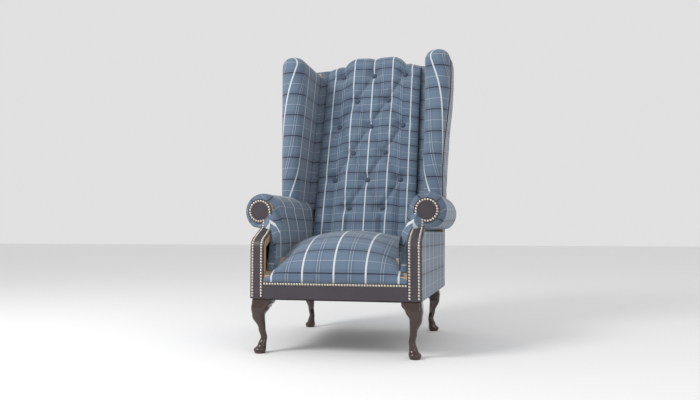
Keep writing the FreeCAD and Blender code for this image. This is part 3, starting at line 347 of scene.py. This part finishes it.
def back_cover():
    """The buttoned inside back, from behind the seat over the crest to the outside back."""
    columns, front_lines, roll_lines = 121, 160, 30
    rows = []
    cloth = []
    for line in range(front_lines + roll_lines):
        row = []
        spots = []
        for step in range(columns):
            x = mix(-BACK_HALF, BACK_HALF, step / (columns - 1))
            edge = 0.012 * (max(0, (abs(x) - BACK_EDGE) / (BACK_HALF - BACK_EDGE))) ** 2
            top = crest(x)
            start = top - CREST_ROLL
            if line < front_lines:
                z = mix(BACK_LOW, start, line / (front_lines - 1))
                point = at(x, crown_plane(z) + hollow(x, z) + edge, z)
            else:
                turn = (line - front_lines + 1) / roll_lines * math.pi / 2
                rear = rear_of_cover(top)
                front = crown_plane(start)
                z = start + CREST_ROLL * math.sin(turn)
                u = front + (rear - front) * (1 - math.cos(turn))
                sink = hollow(x, min(z, CREST_TOP)) * max(0, math.cos(turn)) + edge
                point = at(x, min(rear, u + sink), z - 0.3 * hollow(x, 1.25) * math.sin(turn))
            row.append(point)
            up = line / (front_lines - 1) * 0.93 + 0.02
            spots.append((x * STRIPE_APART / BACK_STRIPES, up * LINE_APART / BACK_LINES))
        rows.append(row)
        cloth.append(spots)
    hem = 0.014
    rows.append([point + Vector((0, 0, -hem)) for point in rows[-1]])
    cloth.append([(across, up + hem) for across, up in cloth[-1]])
    piece = grid_piece("back_cover", rows, cloth, plaid, thick=COVER_THICK)
    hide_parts("back_pad")


def dome(radius, height, rings, around):
    """Points and faces of a low dome with its middle up."""
    points = [(0, 0, height)]
    faces = []
    for ring in range(1, rings + 1):
        turn = ring / rings * math.pi / 2
        for step in range(around):
            angle = 2 * math.pi * step / around
            points.append((radius * math.sin(turn) * math.cos(angle),
                           radius * math.sin(turn) * math.sin(angle), height * math.cos(turn)))
    for step in range(around):
        after = (step + 1) % around
        faces.append((0, 1 + step, 1 + after))
        for ring in range(rings - 1):
            low = 1 + ring * around
            faces.append((low + step, low + around + step, low + around + after, low + after))
    faces.append(tuple(1 + (rings - 1) * around + step for step in range(around))[::-1])
    return points, faces


def domes(name, places, radius, height, made, around=16):
    """Many small domes as one piece, each at a place and facing along its normal."""
    points = []
    faces = []
    shape, sides = dome(radius, height, 4, around)
    for place, normal in places:
        turn = normal.to_track_quat("Z", "Y").to_matrix()
        first = len(points)
        points += [tuple(place + turn @ Vector(point)) for point in shape]
        faces += [tuple(first + index for index in side) for side in sides]
    return mesh_piece(name, points, faces, None, made)


# Seat
def seat_height(x, u):
    """Height of the seat: a crown that falls to the arms and rolls down to the border."""
    share = u / SEAT_DEPTH
    front = math.sqrt(max(0, 1 - (1 - min(1, share / 0.62)) ** 2.6))
    crown = (0.10 + 0.90 * front) * (1 - 0.05 * max(0, share - 0.7) / 0.3)
    side = SEAT_SIDE_RISE * (0.10 + 0.90 * ease(share / 0.75))
    rise = SEAT_RISE * crown
    away = min(1, abs(x) / SEAT_HALF)
    return SEAT_LOW + side + (rise - side) * (1 - away ** 2) ** 0.75


def seat_cover():
    """The sprung seat, from the border to the inside back."""
    columns, lines = 81, 61
    rows = []
    for line in range(lines):
        u = SEAT_DEPTH * (line / (lines - 1)) ** 1.6
        row = []
        for step in range(columns):
            x = mix(-SEAT_EDGE, SEAT_EDGE, step / (columns - 1))
            z = seat_height(x, u) if line else SEAT_LOW
            row.append(at(x, max(0.0005, u), z))
        rows.append(row)
    along = [lengths([row[step] for row in rows]) for step in range(columns)]
    first_line = 0.035
    cloth = [[(row[step].x, along[step][line] - first_line) for step in range(columns)]
             for line, row in enumerate(rows)]
    piece = grid_piece("seat_cover", rows, cloth, plaid, thick=COVER_THICK)
    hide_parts("seat_pad")


# Arms
def arm_outline(radius):
    """Section of a stuffed arm across the chair: its inside wall and the roll."""

    def on_roll(degrees):
        angle = math.radians(degrees)
        return (ARM_ACROSS + radius * math.cos(angle), ARM_LEVEL + radius * math.sin(angle))
    wall_top = (ARM_INNER, ARM_WALL_TOP)
    bend = ((ARM_INNER + ARM_ACROSS - radius) / 2 - 0.004, (ARM_WALL_TOP + ARM_LEVEL) / 2)
    outline = run((ARM_INNER, ARM_LOW), wall_top, 6)
    outline += arc(wall_top, bend, on_roll(180), 8)
    outline += arc(on_roll(180), on_roll(90), on_roll(0), 24)
    outline += arc(on_roll(0), on_roll(-29), on_roll(-58), 8)
    return outline + [on_roll(-58), (0.312, 0.452), (0.290, 0.44), (ARM_WALL, 0.43), (ARM_WALL, ARM_LOW)]


def arm_cover(side, sign):
    """A stuffed arm from its front back to the post."""
    lines = 41
    rows = []
    cloth = []
    for line in range(lines):
        share = line / (lines - 1)
        outline = arm_outline(ROLL_RADIUS + ROLL_GROWTH * share)
        row = []
        spots = []
        for (x, z), far in zip(outline, lengths(outline)):
            u = mix(arm_front_at(z) + ARM_BEHIND_FRONT, ROLL_END, share)
            row.append(at(sign * x, u, z))
            spots.append((u + 0.02, far))
        rows.append(row)
        cloth.append(spots)
    piece = grid_piece("arm_cover_" + side, rows, cloth, plaid, capped=True)
    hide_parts("arm_pad_" + side)


def arm_front_at(z):
    """Behind distance of the arm front at a height, its S in side view."""
    points = arm_front_line()
    if z <= points[0][1]:
        return 0.0
    for (u, low), (next_u, high) in zip(points, points[1:]):
        if low <= z <= high:
            return mix(u, next_u, (z - low) / max(1e-6, high - low))
    return points[-1][0]


def arm_front_line():
    """Side line of the arm front: up, swept back, and up again."""
    bends = 8
    rise = SETBACK - (KNEE + NECK) * (1 - math.cos(LEAN))
    length = rise / math.sin(LEAN)
    points = [(0, KNEE_LEVEL)]
    for step in range(1, bends + 1):
        turn = LEAN * step / bends
        points.append((KNEE - KNEE * math.cos(turn), KNEE_LEVEL + KNEE * math.sin(turn)))
    u, z = points[-1]
    points.append((u + length * math.sin(LEAN), z + length * math.cos(LEAN)))
    u, z = points[-1]
    middle = (u - NECK * math.cos(LEAN), z + NECK * math.sin(LEAN))
    for step in range(bends - 1, -1, -1):
        turn = LEAN * step / bends
        points.append((middle[0] + NECK * math.cos(turn), middle[1] - NECK * math.sin(turn)))
    points.append((points[-1][0], 0.60))
    return points


# Wings
def wing_share(z):
    """0 at the waist of the wing, 1 where it is widest."""
    return ease((z - WING_WAIST) / WING_SWELL)


def wing_cover(side, sign):
    """A stuffed wing: sections with a rolled front edge, drawn in at the top."""
    low = ARM_LEVEL + 0.070 * 0.35
    shoulder = WING_TOP - WING_ROUND
    heights = [low + (shoulder - low) * step / 40 for step in range(40)]
    heights += [shoulder + WING_ROUND * math.sin(math.pi / 2 * step / 8) for step in range(9)]
    rows = []
    cloth = []
    for z in heights:
        over = max(0, (z - shoulder) / WING_ROUND)
        inset = WING_ROUND * (1 - math.sqrt(max(0, 1 - over * over))) * 0.9
        inner = WING_INNER + inset
        outer = mix(*WING_OUTER, wing_share(z)) - inset
        front = mix(*WING_FRONT, wing_share(z)) + inset
        rear = rear_plane(z) - 0.0003
        radius = (outer - inner) / 2
        rear_outer = outer - 0.010
        inner_start = (inner, front + radius)
        outer_start = (outer, front + radius)
        belly = ((outer + rear_outer) / 2 + 0.005, (front + radius + rear) / 2)
        outline = run((inner, crown_plane(z) + 0.045), inner_start, 8)
        outline += arc(inner_start, ((inner + outer) / 2, front), outer_start, 16)
        outline += arc(outer_start, belly, (rear_outer, rear), 10)
        outline += [(rear_outer, rear), (0.227, rear), (0.227, crown_plane(z) + 0.024)]
        rows.append([at(sign * x, u, z) for x, u in outline])
        cloth.append([(far + 0.03, z + 0.01) for far in lengths(outline)])
    piece = grid_piece("wing_cover_" + side, rows, cloth, plaid, round_trip=True, capped=True)
    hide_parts("wing_pad_" + side)


def panel_cloth(node, name):
    """A copy of a flat cloth panel's shape that carries the check."""
    source = nodes[node]
    mesh = source.data
    points = [tuple(source.matrix_world @ vertex.co) for vertex in mesh.vertices]
    faces = [tuple(face.vertices) for face in mesh.polygons]
    across = "back" in node
    cloth = [(point[0] if across else point[1], point[2]) for point in points]
    piece = mesh_piece(name, points, faces, cloth, plaid)
    for face in piece.data.polygons:
        face.use_smooth = False
    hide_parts(node)


# Nails
def nail_row(line, normal_of):
    """Places of nails at an even pitch along a line of points."""
    along = lengths(line)
    count = int(along[-1] / NAIL_PITCH)
    places = []
    index = 0
    for step in range(count + 1):
        far = along[-1] * step / count
        while index < len(along) - 2 and along[index + 1] < far:
            index += 1
        share = (far - along[index]) / max(1e-9, along[index + 1] - along[index])
        here = Vector(line[index]).lerp(Vector(line[index + 1]), share)
        places.append((here, normal_of(here)))
    return places


def nail_heads(name, places):
    """A row of nails as one piece."""
    domes(name, places, NAIL_RADIUS, NAIL_HEIGHT, brass, 10)


def facing_normal(point):
    """Outward direction of the arm front at a height."""
    low = arm_front_at(point.z - 0.002)
    high = arm_front_at(point.z + 0.002)
    return Vector((0, -0.004, high - low)).normalized()


def facing_nails(sign):
    """Two rows of nails that follow the edges of an arm front and meet round the scroll."""
    radius = SCROLL_RADIUS - NAIL_INSET
    inner, outer = FACING_INNER + NAIL_INSET, FACING_OUTER - NAIL_INSET
    drop = math.sqrt(radius ** 2 - (ARM_ACROSS - outer) ** 2)
    start = math.atan2(-drop, outer - ARM_ACROSS)
    outline = [(outer, z / 1000) for z in range(int(STRIP_LOW * 1000), int((ARM_LEVEL - drop) * 1000), 5)]
    for step in range(61):
        angle = mix(start, math.pi, step / 60)
        outline.append((ARM_ACROSS + radius * math.cos(angle), ARM_LEVEL + radius * math.sin(angle)))
    neck = outline[-1][0]
    neck_end = ARM_LEVEL - 1.9 * SCROLL_RADIUS
    outline += [(mix(neck, inner, step / 10), mix(ARM_LEVEL, neck_end, step / 10)) for step in range(1, 11)]
    outline += [(inner, neck_end - (neck_end - STRIP_LOW) * step / 40) for step in range(1, 41)]
    line = [at(sign * x, arm_front_at(z) - 0.0002, z) for x, z in outline]
    return nail_row(line, facing_normal)


def nails():
    """The nails of the arm fronts, the border and the wing strips."""
    for side, sign in SIDES:
        nail_heads("arm_nails_" + side, facing_nails(sign))
    row = [at(x / 1000, -0.0001, 0.2535) for x in range(-257, 258, 2)]
    nail_heads("border_nails", nail_row(row, lambda point: Vector((0, -1, 0))))
    for side, sign in SIDES:
        line = []
        for step in range(61):
            z = mix(0.575, 1.178, step / 60)
            outer = mix(*WING_OUTER, wing_share(z))
            front = mix(*WING_FRONT, wing_share(z))
            line.append(at(sign * (outer + 0.0035), front + (outer - WING_INNER) / 2 + 0.011, z))
        nail_heads("wing_nails_" + side, nail_row(line, lambda point: Vector((sign, 0, 0))))


# Legs
def leg(node, x, u, turn):
    """A cabriole leg with soft edges, its knee and pad foot on the diagonal."""
    # share of the height, half width, stand-out, roundness
    levels = [
        (1.00, LEG_TOP_HALF, 0.0, 0.05),
        (0.93, LEG_TOP_HALF, 0.08 * LEG_KNEE, 0.10),
        (0.82, 0.80 * LEG_TOP_HALF, 0.65 * LEG_KNEE, 0.3),
        (0.68, 0.54 * LEG_TOP_HALF, LEG_KNEE, 0.6),
        (0.44, 0.44 * LEG_ANKLE, 0.36 * LEG_KNEE, 0.9),
        (0.28, 0.40 * LEG_ANKLE, 0.0, 1.0),
        (0.15, 0.54 * LEG_PAD / 2, 0.45 * LEG_TOE, 1.0),
        (0.065, 0.80 * LEG_PAD / 2, LEG_TOE, 1.0),
        (0.0, 0.66 * LEG_PAD / 2, LEG_TOE, 1.0),
    ]
    lines, around = 45, 32
    rows = []
    for line in range(lines):
        share = 1 - line / (lines - 1)
        index = 0
        while index < len(levels) - 2 and levels[index + 1][0] > share:
            index += 1
        high, low = levels[index], levels[index + 1]
        part = ease((high[0] - share) / (high[0] - low[0]))
        half, out, soft = (mix(high[k], low[k], part) for k in (1, 2, 3))
        slant = out / math.sqrt(2)
        power = mix(0.28, 1.0, soft)
        wide = half * mix(1.0, 1.25, soft)
        row = []
        for step in range(around):
            angle = 2 * math.pi * step / around
            c, s = math.cos(angle), math.sin(angle)
            px = math.copysign(abs(c) ** power, c) * wide
            py = math.copysign(abs(s) ** power, s) * wide
            spot = Vector((px + slant, py - slant, share * LEG_HEIGHT))
            spot = Matrix.Rotation(math.radians(turn), 3, "Z") @ spot
            row.append(at(x + spot.x, u + spot.y, spot.z))
        rows.append(row)
    cloth = [[(0, 0)] * around for _ in rows]
    piece = grid_piece(node + "_wood", rows, cloth, mahogany, round_trip=True, capped=True)
    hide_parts(node)


back_cover()
buttons = domes("covered_buttons", [(place + INTO * 0.002, -INTO) for place in BUTTONS], 0.0125, 0.009,
                button_cloth, 24)
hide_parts("back_buttons")
seat_cover()
for side, sign in SIDES:
    arm_cover(side, sign)
    wing_cover(side, sign)
    panel_cloth("wing_outside_panel_" + side, "wing_outside_cloth_" + side)
    panel_cloth("arm_outside_panel_" + side, "arm_outside_cloth_" + side)
panel_cloth("outside_back_panel", "outside_back_cloth")
nails()
leg("front_leg_right", FRONT_LEG[0], FRONT_LEG[1], 0)
leg("front_leg_left", -FRONT_LEG[0], FRONT_LEG[1], -90)
leg("rear_leg_left", -REAR_LEG[0], REAR_LEG[1], 180)
leg("rear_leg_right", REAR_LEG[0], REAR_LEG[1], 90)

FINISHES = {
    "arm_facing": leather, "front_border": leather, "wing_trim": leather, "leg_bolts": steel,
    "seat_springs": steel, "webbing": webbing, "spring_canvas": canvas, "dust_cover": lining,
}
for name, thing in nodes.items():
    chosen = next((finish for word, finish in FINISHES.items() if word in name), beech)
    if thing.type == "MESH":
        thing.data.materials.clear()
        thing.data.materials.append(chosen)

# Room, light and camera
bpy.ops.mesh.primitive_plane_add(size=40, location=(0, 0, 0))
floor = bpy.context.object
floor.name = "floor"
paper = material("paper", (0.86, 0.86, 0.86), 0.9)
floor.data.materials.append(paper)
world = bpy.data.worlds.new("studio")
world.use_nodes = True
world.node_tree.nodes["Background"].inputs[0].default_value = (1, 1, 1, 1)
world.node_tree.nodes["Background"].inputs[1].default_value = 0.75
scene.world = world


def lamp(name, place, size, power):
    """A square lamp that faces the middle of the chair."""
    aim = (0, 0, 0.6)
    data = bpy.data.lights.new(name, "AREA")
    data.energy = power
    data.size = size
    thing = bpy.data.objects.new(name, data)
    thing.location = place
    thing.rotation_euler = (Vector(aim) - Vector(place)).to_track_quat("-Z", "Y").to_euler()
    scene.collection.objects.link(thing)


lamp("key", (-2.2, -2.4, 2.8), 1.2, 90)
lamp("fill", (2.5, -2.5, 1.6), 2.0, 16)
camera_data = bpy.data.cameras.new("camera")
camera_data.lens = 32.914
camera_data.sensor_width = 36
camera_data.shift_x = -0.0086
camera = bpy.data.objects.new("camera", camera_data)
camera.location = (0.5567, -2.6461, 0.4364)
camera.rotation_euler = (math.radians(90 + 2.96), 0, math.radians(12.159))
scene.collection.objects.link(camera)
scene.camera = camera
scene.render.resolution_x = 700
scene.render.resolution_y = 400
scene.view_settings.view_transform = "Standard"
